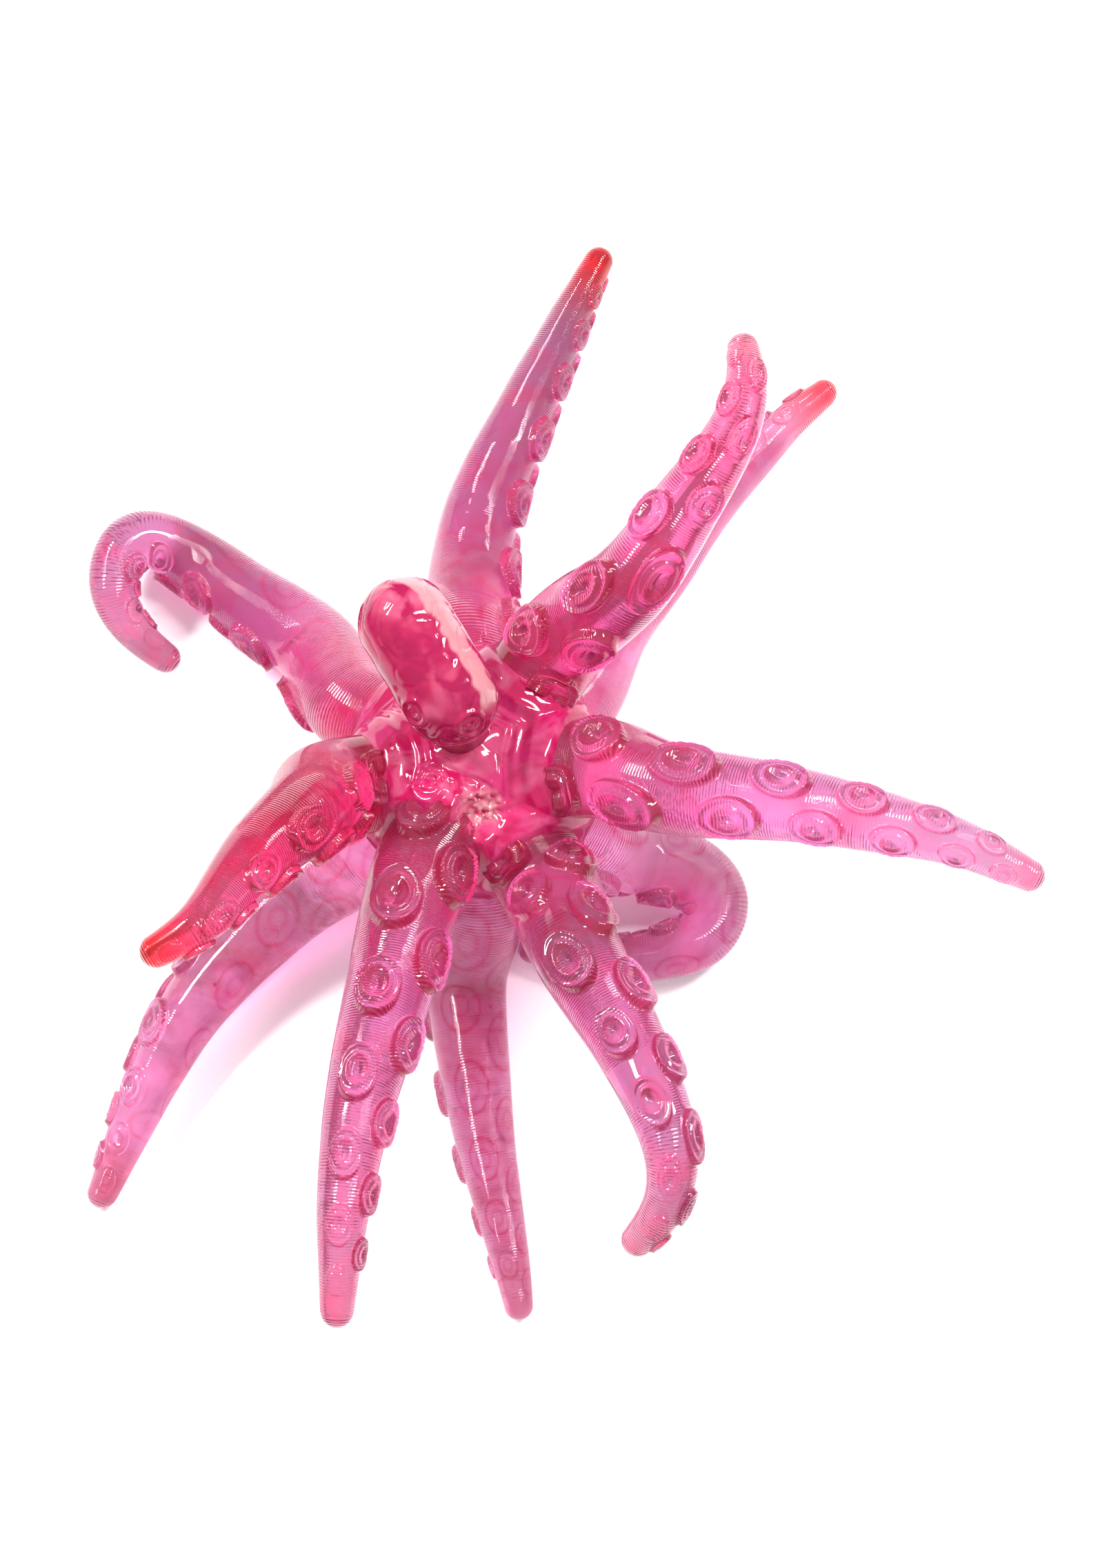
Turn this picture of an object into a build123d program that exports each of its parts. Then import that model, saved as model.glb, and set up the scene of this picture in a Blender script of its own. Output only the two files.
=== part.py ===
from build123d import *
import os
from itertools import combinations
from math import cos, radians, sin, tan

# An octopus toy in clear soft rubber. A round hub holds a capsule-shaped head and eleven tapering arms,
# each on a ball root that snaps into a socket. Six lower arms rest on the floor and five upper arms
# reach out above them. Millimetres, +Z up. The origin is on the floor, straight below the hub's centre.

# Hub and ball roots
hub_height = 30.0         # hub centre above the floor
ball_radius = 4.9
neck_radius = 2.4
running_gap = 0.15        # between a ball and its socket
swing_cone = 41.0         # half angle of a socket's mouth, degrees
socket_wall = 0.4         # least wall between neighbouring sockets
socket_lip = 0.7          # rubber above the narrowest part of a mouth
collar_gap = 1.4          # between the hub and the end of an arm or the head
side_gap = 0.6            # least gap between neighbouring arms where they leave the hub
straight_root = 6.0       # an arm leaves its socket straight for this length

# Arms
arm_root_radius = 8.2
arm_tip_radius = 2.6
taper_power = 1.5         # above 1, an arm keeps its thickness near the root
sections_per_half = 8

# Knuckle at mid-length, between an arm's base and its tip
ball_share = 0.95         # radius of the knuckle's ball, and of the round tip, over the arm's radius there
knuckle_gap = 0.2         # between the knuckle's ball and its cup
knuckle_bend = 37.0       # degrees of bend that the open ring leaves room for

# Head
head_radius = 7.7
head_length = 14.0        # between the centres of its round ends
head_bearing = 122.0      # degrees from +X
head_tilt = 15.0          # degrees above level
head_socket = (120, 75)   # bearing and tilt of its ball root

# Each arm: the bearing and tilt of its socket in degrees, its girth as a share of the full thickness, the
# share of its length before the knuckle, and its route. A route's x and y are measured from the middle of the
# arm's collar, and its third value is the height of the arm's underside: above the hub's centre on an upper
# arm, above the floor on a lower one. The routes were chosen by hand.
arms = {
    "upper_arm_1": ((54, 27), 1.0, 0.50, [
        (16.2, 11.4, 23), (24.2, 21.4, 31), (30.2, 29.4, 37), (33.2, 36.4, 40), (33.2, 45.4, 39),
    ]),
    "upper_arm_2": ((-167, 22), 1.0, 0.48, [
        (-9.0, -8.1, 18), (-15.0, -16.1, 29), (-20.0, -24.1, 37), (-24.0, -30.1, 42),
        (-30.0, -34.1, 43),
    ]),
    "upper_arm_3": ((-113, 32), 1.0, 0.50, [
        (-4.8, -16.3, 12), (-7.8, -31.3, 20), (-10.8, -45.3, 26), (-12.8, -61.3, 29),
        (-13.8, -76.3, 27),
    ]),
    "upper_arm_4": ((-60, 15), 1.0, 0.50, [
        (6.9, -17.3, 14), (12.9, -29.3, 23), (18.9, -42.3, 30), (21.9, -52.3, 32),
        (20.9, -59.3, 29), (16.9, -64.3, 24),
    ]),
    "upper_arm_5": ((-7, 30), 1.0, 0.50, [
        (12.8, -5.0, 13), (28.8, -9.0, 22), (44.8, -13.0, 28), (58.8, -17.0, 31),
        (70.8, -22.0, 30),
    ]),
    "lower_arm_1": ((42, -32), 0.95, 0.50, [
        (10.2, 17.3, 3), (19.2, 30.3, 0), (27.2, 41.3, 0), (35.2, 50.3, 0), (42.2, 57.3, 2),
        (49.2, 63.3, 3),
    ]),
    "lower_arm_2": ((95, -19), 1.0, 0.50, [
        (-0.5, 16.3, 4), (1.5, 33.3, 0), (7.5, 49.3, 0), (15.5, 67.3, 0), (22.5, 82.3, 0),
    ]),
    "lower_arm_3": ((149, -21), 1.0, 0.46, [
        (-13.0, 16.0, 4), (-26.0, 27.0, 0), (-37.0, 35.0, 1), (-46.0, 36.0, 6), (-49.0, 29.0, 8),
        (-46.0, 21.0, 5), (-40.0, 16.0, 4),
    ]),
    "lower_arm_4": ((-149, -33), 1.0, 0.50, [
        (-14.5, -7.9, 3), (-27.5, -18.9, 0), (-37.5, -31.9, 0), (-44.5, -45.9, 0),
        (-50.5, -59.9, 0),
    ]),
    "lower_arm_5": ((-89, -33), 0.95, 0.50, [
        (-2.3, -15.2, 1), (-1.3, -28.2, 0), (0.7, -42.2, 0), (3.7, -56.2, 0), (6.7, -71.2, 0),
    ]),
    "lower_arm_6": ((-25, -33), 0.88, 0.70, [
        (14.7, -4.3, 1), (22.7, -6.3, 0), (26.7, -11.3, 0), (24.7, -17.3, 0), (17.7, -20.3, 0),
        (7.7, -21.3, 0), (-5.3, -19.3, 0),
    ]),
}

hub_centre = Vector(0, 0, hub_height)
up = Vector(0, 0, 1)


def heading(bearing, tilt):
    """Unit vector at a bearing from +X and a tilt above level."""
    level = cos(radians(tilt))
    return Vector(level * cos(radians(bearing)), level * sin(radians(bearing)), sin(radians(tilt)))


sockets = [heading(*head_socket)] + [heading(*arm[0]) for arm in arms.values()]
half_angle = radians(min(one.get_angle(two) for one, two in combinations(sockets, 2)) / 2)
ball_offset = (ball_radius + running_gap + socket_wall / 2) / sin(half_angle)
hub_radius = ball_offset + (ball_radius + running_gap) * cos(radians(swing_cone)) + socket_lip
collar_distance = max(hub_radius + collar_gap, (arm_root_radius + side_gap / 2) / tan(half_angle))
print("ball offset", round(ball_offset, 2), "hub radius", round(hub_radius, 2))
print("collars at", round(collar_distance, 2))


def facing(point, direction):
    """Plane at a point that faces in a direction, with its X level."""
    return Plane(origin=point, x_dir=direction.cross(up), z_dir=direction)


def ballPlane(direction):
    """Plane at a ball root's centre that faces outward."""
    return facing(hub_centre + direction * ball_offset, direction)


def armRadius(share, girth):
    """Radius of an arm at a share of its length."""
    return girth * (arm_tip_radius + (arm_root_radius - arm_tip_radius) * (1 - share**taper_power))


def armPath(socket, girth, level, route):
    """Centre line of an arm, from its collar to the middle of its rounded tip."""
    outward = heading(*socket)
    collar = hub_centre + outward * collar_distance
    points = [collar, collar + outward * straight_root]
    undersides = [Vector(collar.X + x, collar.Y + y, level + height) for x, y, height in route]
    corners = points + [underside + up * arm_root_radius for underside in undersides]
    steps = [(after - before).length for before, after in zip(corners, corners[1:])]
    for index, underside in enumerate(undersides, 2):
        share = sum(steps[:index]) / sum(steps)
        points.append(underside + up * armRadius(share, girth))
    return Spline(*points)


def tube(path, girth, start, end):
    """Tapering round tube along part of a centre line."""
    sections = []
    for index in range(sections_per_half + 1):
        share = start + (end - start) * index / sections_per_half
        sections.append(facing(path @ share, path % share) * Circle(armRadius(share, girth)))
    return loft(sections)


def ballRoot(direction):
    """Ball and neck that hold a limb in its socket."""
    plane = ballPlane(direction)
    reach = collar_distance - ball_offset
    neck = Solid.make_cylinder(neck_radius, reach + collar_gap, plane)
    return plane * Sphere(ball_radius) + neck


def knuckleFrame(path, share):
    """Centre and upward bending axis of the knuckle in an arm."""
    return path @ share, (path % share).cross(up).normalized()


def armBase(socket, girth, share, path):
    """Inner half of an arm: ball root, neck, tapering tube and the knuckle's ball."""
    knuckle = facing(path @ share, path % share) * Sphere(armRadius(share, girth) * ball_share)
    return tube(path, girth, 0, share) + ballRoot(heading(*socket)) + knuckle


def armTip(girth, share, path):
    """Outer half of an arm: the knuckle's cup, tapering tube and rounded tip."""
    radius = armRadius(share, girth)
    start = share + radius * sin(radians(knuckle_bend)) / path.length
    end = facing(path @ 1, path % 1) * Sphere(armRadius(1, girth) * ball_share)
    cup = facing(path @ share, path % share) * Sphere(radius * ball_share + knuckle_gap)
    return tube(path, girth, start, 1) - cup + end


def socketTool():
    """Ball socket with a flared mouth, centred on the origin and opening along +Z."""
    radius = ball_radius + running_gap
    angle = radians(swing_cone)
    lip = (radius * sin(angle), radius * cos(angle))
    mouth_end = hub_radius - ball_offset + neck_radius
    flare = Polyline((0, mouth_end), (mouth_end * tan(angle), mouth_end), lip)
    bowl = ThreePointArc(lip, (radius, 0), (0, -radius))
    half = Plane.XZ * make_face([*flare.edges(), bowl, Line((0, -radius), (0, mouth_end))])
    return revolve(half, Axis.Z)


def makeHub():
    """Round hub with a socket for each limb."""
    hub = Pos(hub_centre) * Sphere(hub_radius)
    socket_tool = socketTool()
    for direction in sockets:
        hub = hub - ballPlane(direction) * socket_tool
    return hub


def makeHead():
    """Capsule that lies over the hub, on its own ball root."""
    outward = heading(*head_socket)
    along = heading(head_bearing, head_tilt)
    lower = hub_centre + outward * (collar_distance + head_radius)
    body = Solid.make_cylinder(head_radius, head_length, Plane(origin=lower, z_dir=along))
    capsule = Pos(lower) * Sphere(head_radius) + body + Pos(lower + along * head_length) * Sphere(head_radius)
    return capsule + ballRoot(outward)


pieces = {"hub": makeHub(), "head": makeHead()}
knuckles = {}
for name, (socket, girth, share, route) in arms.items():
    level = hub_height if name.startswith("upper") else 0
    path = armPath(socket, girth, level, route)
    pieces[name + "_base"] = armBase(socket, girth, share, path)
    pieces[name + "_tip"] = armTip(girth, share, path)
    knuckles[name] = knuckleFrame(path, share)
    knuckle_height = round(knuckles[name][0].Z, 1)
    print(name, "length", round(path.length, 1), "knuckle height", knuckle_height)

os.makedirs("parts", exist_ok=True)
for name, piece in pieces.items():
    export_step(piece, "parts/" + name + ".step")
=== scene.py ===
import math

import bmesh
import bpy
import numpy as np
from mathutils import Matrix, Vector, noise


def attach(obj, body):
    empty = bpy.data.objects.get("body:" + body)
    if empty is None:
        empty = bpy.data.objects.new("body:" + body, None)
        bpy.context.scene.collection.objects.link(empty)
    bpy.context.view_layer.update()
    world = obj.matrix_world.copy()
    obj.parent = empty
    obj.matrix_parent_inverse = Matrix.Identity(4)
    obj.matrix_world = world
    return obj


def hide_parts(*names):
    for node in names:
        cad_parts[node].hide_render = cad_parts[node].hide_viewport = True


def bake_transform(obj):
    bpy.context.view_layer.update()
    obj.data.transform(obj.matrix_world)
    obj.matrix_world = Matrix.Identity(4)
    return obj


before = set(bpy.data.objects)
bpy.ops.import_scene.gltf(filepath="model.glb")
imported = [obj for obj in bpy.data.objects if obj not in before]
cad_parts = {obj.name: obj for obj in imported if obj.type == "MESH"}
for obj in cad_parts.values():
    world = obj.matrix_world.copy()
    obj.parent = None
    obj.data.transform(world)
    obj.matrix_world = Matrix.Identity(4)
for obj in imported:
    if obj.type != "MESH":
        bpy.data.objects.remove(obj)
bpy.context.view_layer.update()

mm = 0.001
up = Vector((0, 0, 1))

# the hub and the roots, in millimetres, as in the part
hub = {"radius": 17.26, "height": 30.0, "collar": 18.8, "straightRoot": 6.0}
hubCentre = Vector((0, 0, hub["height"]))
collarDistance = hub["collar"]

# every arm has the same taper
taper = {"rootRadius": 8.2, "tipRadius": 2.6, "power": 1.5, "rimRadius": 7.3, "sunk": 0.3, "flat": 0.15}

# socket: bearing and tilt. route: x, y, gap under the arm. knuckle: share of the length.
# suckers: turn of the sucker side away from straight up, at the root and at the tip, positive to the right.
# girth: share of the full thickness. red: how red the tip is. paintedLight: how much paler the arm is painted, painted
# light mostly on the arms that lie on the floor.
# flush: how far the red runs down from the root. paintedSeenThrough: how strongly the far side's sucker outlines are
# painted on this side, as painted shade.
# across: direction of the bend's blend where the arm curls back past its knuckle.
arms = {
    "upper_arm_1": {"girth": 1.0, "red": 0.25, "paintedLight": 0.0, "flush": 0.35, "paintedSeenThrough": 0.0, "socket": (54, 27), "knuckle": 0.50, "suckers": (0, 0),
                    "route": [(26, 25, 53), (34, 35, 61), (40, 43, 67), (43, 50, 70), (43, 59, 69)]},
    "upper_arm_2": {"girth": 1.0, "red": 1.0, "paintedLight": 0.0, "flush": 0.85, "paintedSeenThrough": 0.0, "socket": (-167, 22), "knuckle": 0.48, "suckers": (-40, -40),
                    "route": [(-26, -12, 48), (-32, -20, 59), (-37, -28, 67), (-41, -34, 72), (-47, -38, 73)]},
    "upper_arm_3": {"girth": 1.0, "red": 0.1, "paintedLight": 0.0, "flush": 0.15, "paintedSeenThrough": 0.0, "socket": (-113, 32), "knuckle": 0.50, "suckers": (-10, -25),
                    "route": [(-11, -31, 42), (-14, -46, 50), (-17, -60, 56), (-19, -76, 59), (-20, -91, 57)]},
    "upper_arm_4": {"girth": 1.0, "red": 0.15, "paintedLight": 0.0, "flush": 0.1, "paintedSeenThrough": 0.0, "socket": (-60, 15), "knuckle": 0.50, "suckers": (0, -35),
                    "route": [(16, -33, 44), (22, -45, 53), (28, -58, 60), (31, -68, 62), (30, -75, 59), (26, -80, 54)]},
    "upper_arm_5": {"girth": 1.0, "red": 0.05, "paintedLight": 0.15, "flush": 0.0, "paintedSeenThrough": 0.0, "socket": (-7, 30), "knuckle": 0.50, "suckers": (5, 5),
                    "route": [(29, -7, 43), (45, -11, 52), (61, -15, 58), (75, -19, 61), (87, -24, 60)]},
    "lower_arm_1": {"girth": 0.95, "red": 0.9, "paintedLight": 0.6, "flush": 0.0, "paintedSeenThrough": 0.5, "socket": (42, -32), "knuckle": 0.50, "suckers": (-60, -60),
                    "route": [(22, 28, 3), (31, 41, 0), (39, 52, 0), (47, 61, 0), (54, 68, 2), (61, 74, 3)]},
    "lower_arm_2": {"girth": 1.0, "red": 0.9, "paintedLight": 0.1, "flush": 0.05, "paintedSeenThrough": 0.5, "socket": (95, -19), "knuckle": 0.50, "suckers": (120, 100),
                    "route": [(-2, 34, 4), (0, 51, 0), (6, 67, 0), (14, 85, 0), (21, 100, 0)]},
    "lower_arm_3": {"girth": 1.0, "red": 0.1, "paintedLight": 0.05, "flush": 0.0, "paintedSeenThrough": 0.9, "socket": (149, -21), "knuckle": 0.46, "suckers": (-160, -20),
                    "across": (-1, 0, 0), "reach": (6.0, 4.5),
                    "route": [(-28, 25, 4), (-41, 36, 0), (-52, 44, 1), (-61, 45, 6), (-64, 38, 8), (-61, 30, 5),
                              (-55, 25, 4)]},
    "lower_arm_4": {"girth": 1.0, "red": 0.3, "paintedLight": 1.0, "flush": 0.0, "paintedSeenThrough": 0.9, "socket": (-149, -33), "knuckle": 0.50, "suckers": (180, 20),
                    "route": [(-28, -16, 3), (-41, -27, 0), (-51, -40, 0), (-58, -54, 0), (-64, -68, 0)]},
    "lower_arm_5": {"girth": 0.95, "red": 0.15, "paintedLight": 1.0, "flush": 0.05, "paintedSeenThrough": 1.0, "socket": (-89, -33), "knuckle": 0.50, "suckers": (160, 160),
                    "route": [(-2, -31, 1), (-1, -44, 0), (1, -58, 0), (4, -72, 0), (7, -87, 0)]},
    "lower_arm_6": {"girth": 0.88, "red": 0.1, "paintedLight": 1.0, "flush": 0.0, "paintedSeenThrough": 0.9, "socket": (-25, -33), "knuckle": 0.70, "suckers": (110, 90),
                    "across": (-0.4, -0.92, 0), "reach": (2.1, 3.9),
                    "route": [(29, -11, 1), (37, -13, 0), (41, -18, 0), (39, -24, 0), (32, -27, 0), (22, -28, 0),
                              (9, -26, 0)]},
}

# suckers, as shares of the arm's radius at each one
sucker = {"halfLength": 0.80, "halfWidth": 0.54, "rowAngle": 33.0, "pitch": 1.08, "plinth": 0.17,
          "rim": 0.07, "rimAt": 0.84, "ring": 0.075, "ringAt": 0.50, "ringWidth": 0.085, "cup": 0.10, "slit": 0.30,
          "firstAt": 0.01, "lastAt": 0.975}
armMesh = {"rings": 300, "around": 120, "facing": 0.42, "sway": 0.16, "swaySize": 9.0}


def heading(bearing, tilt):
    level = math.cos(math.radians(tilt))
    return Vector((level * math.cos(math.radians(bearing)), level * math.sin(math.radians(bearing)),
                   math.sin(math.radians(tilt))))


def armRadius(share, girth):
    share = min(max(share, 0.0), 1.0)
    return girth * (taper["tipRadius"] + (taper["rootRadius"] - taper["tipRadius"]) * (1 - share ** taper["power"]))


def routePoints(arm):
    outward = heading(*arm["socket"])
    collar = hubCentre + outward * collarDistance
    points = [collar, collar + outward * hub["straightRoot"]]
    corners = points + [Vector((x, y, gap + taper["rootRadius"])) for x, y, gap in arm["route"]]
    steps = [(b - a).length for a, b in zip(corners, corners[1:])]
    for index, (x, y, gap) in enumerate(arm["route"], 2):
        points.append(Vector((x, y, gap + armRadius(sum(steps[:index]) / sum(steps), arm["girth"]))))
    return points


class Line:
    # smooth line through points, with a frame at any distance along it
    def __init__(self, points, samples=600):
        p = np.array([tuple(q) for q in points])
        t = np.concatenate([[0], np.cumsum(np.linalg.norm(np.diff(p, axis=0), axis=1))])
        n, h = len(p), np.diff(t)
        a, r = np.eye(n), np.zeros((n, 3))
        for i in range(1, n - 1):
            a[i, i - 1:i + 2] = h[i - 1], 2 * (h[i - 1] + h[i]), h[i]
            r[i] = 6 * ((p[i + 1] - p[i]) / h[i] - (p[i] - p[i - 1]) / h[i - 1])
        m = np.linalg.solve(a, r)
        u = np.linspace(0, t[-1], samples)
        i = np.clip(np.searchsorted(t, u, side="right") - 1, 0, n - 2)
        s, w = (u - t[i])[:, None], h[i][:, None]
        b = w - s
        self.at = (m[i] * b**3 + m[i + 1] * s**3) / (6 * w) + (p[i] / w - m[i] * w / 6) * b \
            + (p[i + 1] / w - m[i + 1] * w / 6) * s
        self.far = np.concatenate([[0], np.cumsum(np.linalg.norm(np.diff(self.at, axis=0), axis=1))])
        self.length = self.far[-1]
        self.ahead = np.gradient(self.at, self.far, axis=0)
        self.ahead /= np.linalg.norm(self.ahead, axis=1)[:, None]
        side = np.cross(self.ahead[0], (0, 0, 1))
        sides = []
        for d in self.ahead:  # carry the side vector along without twist
            side = side - d * (side @ d)
            side /= np.linalg.norm(side)
            sides.append(side)
        self.side = np.array(sides)

    def frameAt(self, distance):
        # straight on past either end
        inside = min(max(distance, 0.0), self.length)
        point, ahead, side = (Vector([np.interp(inside, self.far, v[:, k]) for k in range(3)])
                              for v in (self.at, self.ahead, self.side))
        ahead.normalize()
        side = (side - ahead * side.dot(ahead)).normalized()
        return point + ahead * (distance - inside), ahead, side


def smoothStep(low, high, value):
    t = min(max((value - low) / (high - low), 0.0), 1.0)
    return t * t * (3 - 2 * t)


def suckerPlaces(length, girth):
    # centres down the arm, in turn left and right
    places, at, row = [], sucker["firstAt"] * length, 1
    while at < sucker["lastAt"] * length:
        places.append((at, row))
        at += sucker["pitch"] * armRadius(at / length, girth)
        row = -row
    return places


def bell(value, centre, width):
    return math.exp(-((value - centre) / width) ** 2)


def suckerHeight(dx, dy, radius, fine):
    # q is 0 at the centre and 1 at the outline; fine goes to 0 on the small ones near the tip
    q = math.hypot(dx, dy)
    plinth = sucker["plinth"] * (1 - smoothStep(0.86, 1.0, q))
    rim = sucker["rim"] * bell(q, sucker["rimAt"], 0.09)
    ring = sucker["ring"] * bell(q, sucker["ringAt"], sucker["ringWidth"])
    cup = -sucker["cup"] * (1 - smoothStep(0.05, 0.42, math.hypot(dx, dy * 1.4)))
    slit = -0.05 * bell(dy, 0, 0.10) * (1 - smoothStep(0.0, sucker["slit"], abs(dx)))
    dome = 0.07 * (1 - smoothStep(0.0, 1.0, q))
    return radius * (plinth + fine * (rim + ring + cup + slit) + (1 - fine) * dome)


def armProfile(length, girth):
    # pairs of distance and radius: the root's hollow face that fits the hub, the skirt, the arm, the rounded tip
    face = hub["radius"] - taper["sunk"]
    rim = girth * taper["rimRadius"]
    profile = [(math.sqrt(face**2 - (rim * f)**2) - collarDistance, rim * f)
               for f in (0.0, 0.12, 0.3, 0.5, 0.7, 0.85, 0.95, 1.0)]
    start = profile[-1][0]
    for f in np.linspace(0, 1, 12)[1:-1]:
        profile.append((start * (1 - f), rim + (armRadius(0, girth) - rim) * math.sin(f * math.pi / 2)))
    profile += [(s, armRadius(s / length, girth)) for s in np.linspace(0, length, armMesh["rings"])]
    tip = armRadius(1, girth)
    for f in np.linspace(0, math.pi / 2, 11)[1:]:
        profile.append((length + tip * math.sin(f), tip * math.cos(f) if f < 1.57 else 0.0))
    return profile


def makeArm(name, arm):
    line = Line(routePoints(arm))
    length, girth = line.length, arm["girth"]
    places = suckerPlaces(length, girth)
    rings = armProfile(length, girth)
    seed = Vector((sum(map(ord, name)) * 0.37, 0, 0))
    bm = bmesh.new()
    bmesh.ops.create_grid(bm, x_segments=len(rings) - 1, y_segments=armMesh["around"], size=0.5)
    layers = {key: bm.verts.layers.float.new(key) for key in ("alongArm", "armShare", "suckerSide", "tipRed", "paintedLight", "flush", "paintedSuckerShade")}
    for v in bm.verts:
        s, radius = rings[round((v.co.x + 0.5) * (len(rings) - 1))]
        turn = (v.co.y + 0.5) * 2 * math.pi - math.pi
        angle = turn - armMesh["facing"] * math.sin(turn)  # closer together on the sucker side
        height, paintedSuckerShade = 0.0, 0.0
        if 0 <= s <= length:
            for at, row in places:
                size = armRadius(at / length, girth)
                dx = (s - at) / (sucker["halfLength"] * size)
                if abs(dx) < 1.0:
                    dy = (angle - row * math.radians(sucker["rowAngle"])) * radius / (sucker["halfWidth"] * size)
                    # painted shade: the outlines of the suckers on the far side are painted on this side too, where
                    # they would show through
                    far = abs(angle) - math.pi if angle > 0 else math.pi - abs(angle)
                    farRow = (far + row * math.radians(sucker["rowAngle"])) * radius / (sucker["halfWidth"] * size)
                    q = math.hypot(dx, farRow)
                    paintedSuckerShade = max(paintedSuckerShade, arm["paintedSeenThrough"] * max(bell(q, 0.93, 0.09), 0.7 * bell(q, 0.40, 0.10)))
                    q = math.hypot(dx, dy)
                    if q < 1.0:
                        height = max(height, suckerHeight(dx, dy, size, smoothStep(2.6, 4.0, size)), key=abs)
                        # painted shade: the sucker's outline and inner ring are painted darker
                        paintedSuckerShade = max(paintedSuckerShade, bell(q, 0.93, 0.09), 0.7 * bell(q, 0.40, 0.10))
            where = Vector((s, radius * math.cos(angle), radius * math.sin(angle))) / armMesh["swaySize"] + seed
            height += armMesh["sway"] * noise.noise(where) * smoothStep(0, 6, s)
        point, ahead, side = line.frameAt(s)
        share = min(max(s / length, 0), 1)
        facing = math.radians(arm["suckers"][0] + (arm["suckers"][1] - arm["suckers"][0]) * share)
        lift = side.cross(ahead)
        outward = (lift * math.cos(facing) + side * math.sin(facing)) * math.cos(angle) \
            + (side * math.cos(facing) - lift * math.sin(facing)) * math.sin(angle)
        v.co = (point + outward * (radius + height)) * mm
        v.co.z = max(v.co.z, taper["flat"] * mm)  # flat where it lies on the floor
        for key, value in (("alongArm", s * mm), ("armShare", share), ("suckerSide", 0.5 + 0.5 * math.cos(angle)),
                           ("tipRed", arm["red"]), ("paintedLight", arm["paintedLight"]), ("flush", arm["flush"]), ("paintedSuckerShade", paintedSuckerShade)):
            v[layers[key]] = value
    bmesh.ops.remove_doubles(bm, verts=bm.verts, dist=0.00001)
    bmesh.ops.recalc_face_normals(bm, faces=bm.faces)
    mesh = bpy.data.meshes.new(name)
    bm.to_mesh(mesh)
    bm.free()
    piece = bpy.data.objects.new(name, mesh)
    bpy.context.scene.collection.objects.link(piece)
    for polygon in mesh.polygons:
        polygon.use_smooth = True
    at, ahead, _ = line.frameAt(arm["knuckle"] * length)
    return piece, at, ahead


# materials

rubber = {
    "arm": {"thin": (0.60, 0.23, 0.44), "light": (0.86, 0.54, 0.72), "end": (0.39, 0.20, 0.29), "deep": (0.72, 0.035, 0.14),
            "tip": (0.70, 0.02, 0.03),
            # paintedDarkReflection: colour of the painted dark reflections
            "paintedDarkReflection": (0.34, 0.10, 0.19), "absorb": (0.998, 0.26, 0.86), "density": 50.0, "roughness": 0.04},
    "hub": {"thin": (0.60, 0.035, 0.17), "light": (0.70, 0.20, 0.32), "deep": (0.52, 0.008, 0.10),
            "absorb": (0.998, 0.14, 0.55), "density": 45.0, "roughness": 0.06},
    # painted shade: the head's rubber is the hub's in darker colours, to take back the extra light the head catches
    "head": {"thin": (0.44, 0.014, 0.09), "light": (0.62, 0.12, 0.22), "deep": (0.36, 0.003, 0.07),
             "absorb": (0.998, 0.12, 0.52), "density": 60.0, "roughness": 0.06},
}
# paintedDarkReflection: strength of the painted dark reflections
# paintedSheen: pale colour of the painted reflection on the head and the painted glints on the hub
# paintedSuckerShade: strength of the painted shade at the sucker outlines
finish = {"ior": 1.41, "ribPitch": 0.46, "ribBump": 0.30, "swirlSize": 90.0, "armClear": 0.86, "bodyClear": 0.40,
          "paintedSuckerShade": 0.7, "paintedDarkReflection": 0.35, "paintedSheen": (0.80, 0.40, 0.42)}


def node(tree, kind, place, **sockets):
    made = tree.nodes.new(kind)
    made.location = place
    for key, value in sockets.items():
        made.inputs[key.replace("_", " ")].default_value = value
    return made


def maths(tree, place, operation, first, second, clamp=False):
    made = node(tree, "ShaderNodeMath", place)
    made.operation = operation
    made.use_clamp = clamp
    for index, value in enumerate((first, second)):
        if value is None:
            continue
        if isinstance(value, (int, float)):
            made.inputs[index].default_value = value
        else:
            tree.links.new(value, made.inputs[index])
    return made.outputs["Value"]


def attribute(tree, place, name):
    made = node(tree, "ShaderNodeAttribute", place)
    made.attribute_name = name
    return made.outputs["Fac"]


def mixColours(tree, place, factor, first, second):
    made = node(tree, "ShaderNodeMix", place)
    made.data_type = "RGBA"
    tree.links.new(factor, made.inputs["Factor"])
    for key, value in (("A", first), ("B", second)):
        if isinstance(value, tuple):
            made.inputs[key].default_value = (*value, 1)
        else:
            tree.links.new(value, made.inputs[key])
    return made.outputs["Result"]


def noiseMask(tree, place, vector, size, low, high, warp=0.0):
    swirl = node(tree, "ShaderNodeTexNoise", place, Scale=size, Detail=3.0)
    swirl.inputs["Distortion"].default_value = warp
    tree.links.new(vector, swirl.inputs["Vector"])
    mask = node(tree, "ShaderNodeMapRange", (place[0] + 200, place[1]), From_Min=low, From_Max=high)
    tree.links.new(swirl.outputs["Fac"], mask.inputs["Value"])
    return mask.outputs["Result"]


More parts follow.
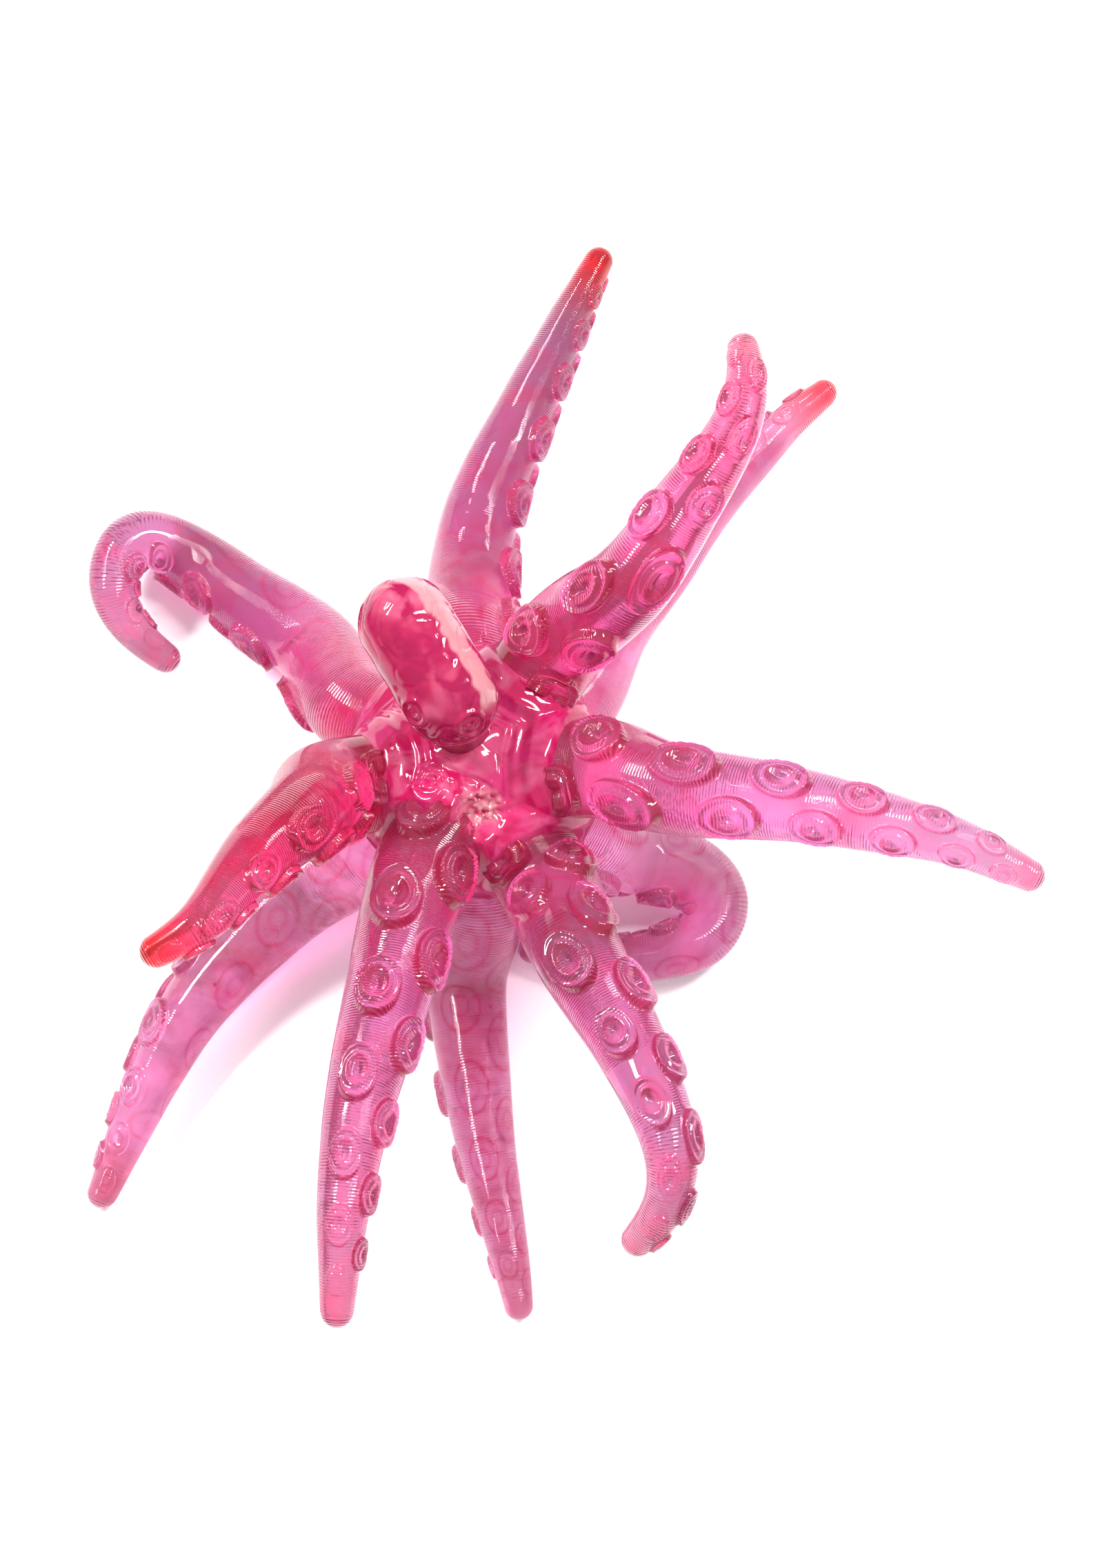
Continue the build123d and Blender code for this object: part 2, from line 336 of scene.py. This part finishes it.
def baseRubber(name, look, clear):
    # the clear shader and its tinted inside, without colours or relief yet
    material = bpy.data.materials.new(name)
    material.use_nodes = True
    tree = material.node_tree
    tree.nodes.clear()
    out = node(tree, "ShaderNodeOutputMaterial", (900, 0))
    shader = node(tree, "ShaderNodeBsdfPrincipled", (560, 0))
    shader.inputs["Roughness"].default_value = look["roughness"]
    shader.inputs["IOR"].default_value = finish["ior"]
    shader.inputs["Transmission Weight"].default_value = clear
    tree.links.new(shader.outputs["BSDF"], out.inputs["Surface"])
    volume = node(tree, "ShaderNodeVolumeAbsorption", (560, -420))
    volume.inputs["Color"].default_value = (*look["absorb"], 1)
    volume.inputs["Density"].default_value = look["density"]
    tree.links.new(volume.outputs["Volume"], out.inputs["Volume"])
    where = node(tree, "ShaderNodeTexCoord", (-1100, 0)).outputs["Object"]
    return material, tree, shader, where


def relief(tree, shader, height, strength, distance):
    bump = node(tree, "ShaderNodeBump", (300, -420), Strength=strength, Distance=distance)
    tree.links.new(height, bump.inputs["Height"])
    tree.links.new(bump.outputs["Normal"], shader.inputs["Normal"])


def armMaterial(name, look):
    material, tree, shader, where = baseRubber(name, look, finish["armClear"])
    share = attribute(tree, (-1100, -300), "armShare")
    swirls = noiseMask(tree, (-900, 300), where, finish["swirlSize"], 0.46, 0.66, 1.6)
    rootMask = node(tree, "ShaderNodeMapRange", (-700, -100), From_Min=0.42, From_Max=0.0, To_Min=0.0, To_Max=0.6)
    tree.links.new(share, rootMask.inputs["Value"])
    # painted light: the arms that lie on the floor are painted paler and less red at the root
    paintedLight = attribute(tree, (-1100, -500), "paintedLight")
    away = maths(tree, (-700, -420), "SUBTRACT", 1.0, paintedLight)
    root = maths(tree, (-500, -100), "MULTIPLY", rootMask.outputs["Result"], away)
    flushed = maths(tree, (-500, 60), "MULTIPLY", attribute(tree, (-1100, -200), "flush"),
                    noiseMask(tree, (-900, 60), where, 55.0, 0.30, 0.58, 0.6))
    root = maths(tree, (-400, -40), "MAXIMUM", root, flushed)
    faint = maths(tree, (-500, 200), "MULTIPLY", swirls, 0.42)
    red = maths(tree, (-300, 60), "ADD", faint, root, clamp=True)
    endMask = node(tree, "ShaderNodeMapRange", (-700, 460), From_Min=0.35, From_Max=0.95)
    tree.links.new(share, endMask.inputs["Value"])
    thin = mixColours(tree, (-500, 420), endMask.outputs["Result"], look["thin"], look["end"])
    ground = mixColours(tree, (-300, 300), paintedLight, thin, look["light"])
    body = mixColours(tree, (-80, 160), red, ground, look["deep"])
    tipMask = node(tree, "ShaderNodeMapRange", (-700, -640), From_Min=0.86, From_Max=0.99)
    tree.links.new(share, tipMask.inputs["Value"])
    tip = maths(tree, (-500, -640), "MULTIPLY", tipMask.outputs["Result"], attribute(tree, (-1100, -700), "tipRed"))
    colour = mixColours(tree, (140, 160), tip, body, look["tip"])
    # painted shade: deep colour along the sucker outlines
    paintedSuckerShade = maths(tree, (140, -60), "MULTIPLY", attribute(tree, (-1100, -1100), "paintedSuckerShade"), finish["paintedSuckerShade"])
    colour = mixColours(tree, (240, 60), paintedSuckerShade, colour, look["deep"])
    # painted dark reflections: random darker patches on the paler arms
    paintedDarkReflection = maths(tree, (0, 640), "MULTIPLY", noiseMask(tree, (-900, 760), where, 75.0, 0.56, 0.70, 2.5),
                 maths(tree, (-300, 560), "MULTIPLY", paintedLight, finish["paintedDarkReflection"]))
    colour = mixColours(tree, (280, 100), paintedDarkReflection, colour, look["paintedDarkReflection"])
    specks = noiseMask(tree, (-900, 560), where, 260.0, 0.735, 0.76)
    colour = mixColours(tree, (340, 200), maths(tree, (140, 420), "MULTIPLY", specks, 0.8), colour, look["deep"])
    tree.links.new(colour, shader.inputs["Base Color"])
    along = attribute(tree, (-1100, -900), "alongArm")
    turns = maths(tree, (-900, -900), "MULTIPLY", along, 2 * math.pi / (finish["ribPitch"] * mm))
    wave = maths(tree, (-700, -900), "SINE", turns, None)
    broken = noiseMask(tree, (-900, -1150), where, 60.0, 0.38, 0.60)
    relief(tree, shader, maths(tree, (-300, -900), "MULTIPLY", wave, broken), finish["ribBump"], 0.0003)
    return material


def bodyMaterial(name, look):
    material, tree, shader, where = baseRubber(name, look, finish["bodyClear"])
    blotches = noiseMask(tree, (-900, 300), where, 150.0, 0.44, 0.60, 1.2)
    milky = noiseMask(tree, (-900, 0), where, 70.0, 0.50, 0.72, 0.8)
    ground = mixColours(tree, (-300, 300), milky, look["thin"], look["light"])
    body = mixColours(tree, (-80, 160), blotches, ground, look["deep"])
    # painted sheen: the painted reflection band on the head and the painted glints on the hub
    paintedSheen = attribute(tree, (-300, -60), "paintedSheenMask")
    tree.links.new(mixColours(tree, (140, 160), paintedSheen, body, finish["paintedSheen"]), shader.inputs["Base Color"])
    fine = node(tree, "ShaderNodeTexNoise", (-520, -560), Scale=700.0, Detail=2.0)
    tree.links.new(where, fine.inputs["Vector"])
    relief(tree, shader, fine.outputs["Fac"], 0.05, 0.0003)
    return material


armRubber = armMaterial("clear_pink_rubber", rubber["arm"])
bodyRubber = {nodeName: bodyMaterial("clear_deep_pink_" + nodeName, rubber[nodeName]) for nodeName in ("hub", "head")}

for name, arm in arms.items():
    piece, at, ahead = makeArm(name, arm)
    piece.data.materials.append(armRubber)
    ahead = Vector(arm.get("across", ahead)).normalized()
    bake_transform(piece)
    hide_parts(name + "_base", name + "_tip")
    print(name, len(piece.data.polygons), "faces")


# hub: a ball with nested ridges round each root, and a crumpled spot on top with painted glints

hubSkin = {"detail": 7, "ridges": ((33.0, 1.8, 0.50), (39.0, 1.8, 0.45), (45.0, 1.8, 0.35)),
           "fillet": 4.3, "filletFrom": 24.4, "filletTo": 44.0, "swell": 0.6, "ripple": 0.12, "rippleSize": 3.0,
           "crumpleAt": (1.2, -9.1, 14.6), "crumpleReach": 4.2, "crumple": 2.4, "facet": 1.0,
           "eyeAt": (-6.1, -5.0, 15.3), "eyeRadius": 2.3}


noise.seed_set(3)  # noise_vector is otherwise seeded from the clock


def flake(where, size):
    # flat chips: each cell leans its own way
    cell = noise.voronoi(where / size)[1][0]
    lean = noise.noise_vector(cell * 3.7)
    return (where / size - cell).dot(lean)


def makeHub():
    bm = bmesh.new()
    bmesh.ops.create_icosphere(bm, subdivisions=hubSkin["detail"], radius=hub["radius"])
    limbs = [heading(*arm["socket"]) for arm in arms.values()]
    crumpleAt = Vector(hubSkin["crumpleAt"]).normalized() * hub["radius"]
    eyeAt = Vector(hubSkin["eyeAt"]).normalized() * hub["radius"]
    paintedSheen = bm.verts.layers.float.new("paintedSheenMask")
    for v in bm.verts:
        outward = v.co.normalized()
        away = sorted(math.degrees(outward.angle(limb)) for limb in limbs)
        angle, web = away[0], smoothStep(14, 0, away[1] - away[0])
        height = hubSkin["ripple"] * noise.noise(v.co / hubSkin["rippleSize"])
        for at, width, rise in hubSkin["ridges"]:
            height += rise * bell(angle, at + 1.5 * noise.noise(v.co / 5), width)
        height += hubSkin["swell"] * web * smoothStep(20, 26, angle)
        height += hubSkin["fillet"] * (1 - smoothStep(hubSkin["filletFrom"], hubSkin["filletTo"], angle)) ** 1.3
        toEye = (v.co - eyeAt).length / hubSkin["eyeRadius"]
        height += 0.6 * bell(toEye, 1.0, 0.22) + 0.4 * bell(toEye, 0.45, 0.15)
        near = 1 - smoothStep(0.4, 1.0, (v.co - crumpleAt).length / hubSkin["crumpleReach"])
        height = height * (1 - near) + near * (0.6 + hubSkin["crumple"] * flake(v.co, hubSkin["facet"]))
        # painted glints: pale salmon over the crumpled spot
        v[paintedSheen] = 0.8 * near * (0.5 + noise.noise(v.co / 1.1))
        height *= smoothStep(11, 20, angle)  # no relief inside a root
        v.co = (hubCentre + outward * (hub["radius"] + height)) * mm
    mesh = bpy.data.meshes.new("hub_rubber")
    bm.to_mesh(mesh)
    bm.free()
    piece = bpy.data.objects.new("hub_rubber", mesh)
    bpy.context.scene.collection.objects.link(piece)
    return piece


# head: a capsule on a thick stem, with two ringed eyes, a few creases and a painted reflection band along its upper
# right side

headSkin = {"radius": 7.7, "length": 14.0, "bearing": 122, "tilt": 15, "socket": (120, 75), "stemRadius": 5.2,
            "voxel": 0.36, "eyes": ((-0.72, -0.42, 0.56), (0.45, -0.70, 0.58)), "eyeRadius": 2.2, "ripple": 0.10, "crease": 0.14}


def makeHead():
    outward = heading(*headSkin["socket"])
    along = heading(headSkin["bearing"], headSkin["tilt"])
    lower = hubCentre + outward * (collarDistance + headSkin["radius"])
    stemStart = hubCentre + outward * (hub["radius"] - 1.2)
    bm = bmesh.new()
    for centre in (lower, lower + along * headSkin["length"]):
        bmesh.ops.create_uvsphere(bm, u_segments=64, v_segments=32, radius=headSkin["radius"],
                                  matrix=Matrix.Translation(centre))
    for begin, finish_, radius in ((lower, lower + along * headSkin["length"], headSkin["radius"]),
                                   (stemStart, lower, headSkin["stemRadius"])):
        way = finish_ - begin
        place = Matrix.Translation((begin + finish_) / 2) @ way.to_track_quat("Z", "Y").to_matrix().to_4x4()
        bmesh.ops.create_cone(bm, cap_ends=True, segments=64, radius1=radius, radius2=radius, depth=way.length,
                              matrix=place)
    mesh = bpy.data.meshes.new("head_rubber")
    bm.to_mesh(mesh)
    bm.free()
    mesh.transform(Matrix.Scale(mm, 4))
    piece = bpy.data.objects.new("head_rubber", mesh)
    bpy.context.scene.collection.objects.link(piece)
    remesh = piece.modifiers.new("evenMesh", "REMESH")
    remesh.mode = "VOXEL"
    remesh.voxel_size = headSkin["voxel"] * mm
    soften = piece.modifiers.new("soften", "SMOOTH")
    soften.iterations = 12
    done = bpy.data.meshes.new_from_object(piece.evaluated_get(bpy.context.evaluated_depsgraph_get()))
    piece.modifiers.clear()
    piece.data = done
    eyes = [lower + Vector(eye).normalized() * headSkin["radius"] for eye in headSkin["eyes"]]
    paintedSheen = done.attributes.new("paintedSheenMask", "FLOAT", "POINT")
    right = along.cross(up).normalized()
    for v in done.vertices:
        where = v.co / mm
        middle = lower + along * min(max((where - lower).dot(along), 0), headSkin["length"])
        away = (where - middle).normalized()
        height = headSkin["ripple"] * noise.noise(where / 2.4)
        for eye in eyes:
            q = (where - eye).length / headSkin["eyeRadius"]
            height += 0.55 * bell(q, 1.0, 0.20) + 0.35 * bell(q, 0.42, 0.16)
        # painted reflection: a pale band along the upper right of the capsule, where the right softbox's reflection
        # falls
        turn = math.degrees(math.atan2(away.dot(right), away.dot(right.cross(along)))) + 9 * noise.noise(where / 2.0)
        paintedSheen.data[v.index].value = 0.75 * smoothStep(26, 32, turn) * (1 - smoothStep(60, 66, turn)) \
            * smoothStep(-5.5, -2.5, (where - lower).dot(along))
        crease = noise.noise(where / 3.6 + Vector((9, 4, 2)))
        height -= headSkin["crease"] * bell(crease, 0.0, 0.05) * smoothStep(0.0, 0.6, away.z)
        v.co = (where + away * height * smoothStep(hub["radius"], hub["radius"] + 2.5, (where - hubCentre).length)) * mm
    return piece


for nodeName, piece in (("hub", makeHub()), ("head", makeHead())):
    for polygon in piece.data.polygons:
        polygon.use_smooth = True
    piece.data.materials.clear()
    piece.data.materials.append(bodyRubber[nodeName])
    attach(piece, nodeName)
    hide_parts(nodeName)
    print(nodeName, len(piece.data.polygons), "faces")


# floor, light and camera

view = {"elevation": 78.0, "distance": 560.0, "frameHeight": 261.5, "aimRight": 14.0, "aimDown": 2.5}
light = {"floorRadius": 14.0, "horizon": 0.38, "overhead": 0.88, "floor": (0.95, 0.95, 0.955)}

bm = bmesh.new()
bmesh.ops.create_circle(bm, cap_ends=True, segments=96, radius=light["floorRadius"])
floorMesh = bpy.data.meshes.new("floor")
bm.to_mesh(floorMesh)
bm.free()
floorPiece = bpy.data.objects.new("floor", floorMesh)
bpy.context.scene.collection.objects.link(floorPiece)
floorMaterial = bpy.data.materials.new("pale_floor")
floorMaterial.use_nodes = True
floorShader = floorMaterial.node_tree.nodes["Principled BSDF"]
floorShader.inputs["Base Color"].default_value = (*light["floor"], 1)
floorShader.inputs["Roughness"].default_value = 0.9
floorMesh.materials.append(floorMaterial)

world = bpy.data.worlds.new("studio")
bpy.context.scene.world = world
world.use_nodes = True
sky = world.node_tree.nodes["Background"]
sky.inputs["Color"].default_value = (1, 1, 1, 1)
direction = node(world.node_tree, "ShaderNodeTexCoord", (-700, 0))
split = node(world.node_tree, "ShaderNodeSeparateXYZ", (-500, 0))
fade = node(world.node_tree, "ShaderNodeMapRange", (-300, 0), From_Min=0.05, From_Max=0.55,
            To_Min=light["horizon"], To_Max=light["overhead"])
world.node_tree.links.new(direction.outputs["Generated"], split.inputs["Vector"])
world.node_tree.links.new(split.outputs["Z"], fade.inputs["Value"])
world.node_tree.links.new(fade.outputs["Result"], sky.inputs["Strength"])


def softLight(name, place, size, power):
    data = bpy.data.lights.new(name, "AREA")
    data.shape = "RECTANGLE"
    data.size, data.size_y = size
    data.energy = power
    lamp = bpy.data.objects.new(name, data)
    bpy.context.scene.collection.objects.link(lamp)
    lamp.location = place
    lamp.rotation_euler = (-Vector(place)).to_track_quat("-Z", "Y").to_euler()
    return lamp


softLight("left_softbox", (-0.55, 0.35, 0.75), (0.42, 0.12), 11)
softLight("right_softbox", (0.45, 0.25, 0.75), (0.12, 0.55), 10)

camera = bpy.data.objects.new("camera", bpy.data.cameras.new("camera"))
bpy.context.scene.collection.objects.link(camera)
bpy.context.scene.camera = camera
tilt = math.radians(view["elevation"])
imageUp = Vector((0, math.sin(tilt), math.cos(tilt)))
back = Vector((0, -math.cos(tilt), math.sin(tilt)))
aim = hubCentre + Vector((1, 0, 0)) * view["aimRight"] - imageUp * view["aimDown"]
camera.location = (aim + back * view["distance"]) * mm
camera.rotation_euler = (-back).to_track_quat("-Z", "Y").to_euler()
camera.data.lens = camera.data.sensor_width * view["distance"] / view["frameHeight"]
camera.data.clip_start = 0.01

cycles = bpy.context.scene.cycles
cycles.max_bounces = 24
cycles.transmission_bounces = 24
cycles.glossy_bounces = 8
bpy.context.scene.view_settings.view_transform = "Standard"
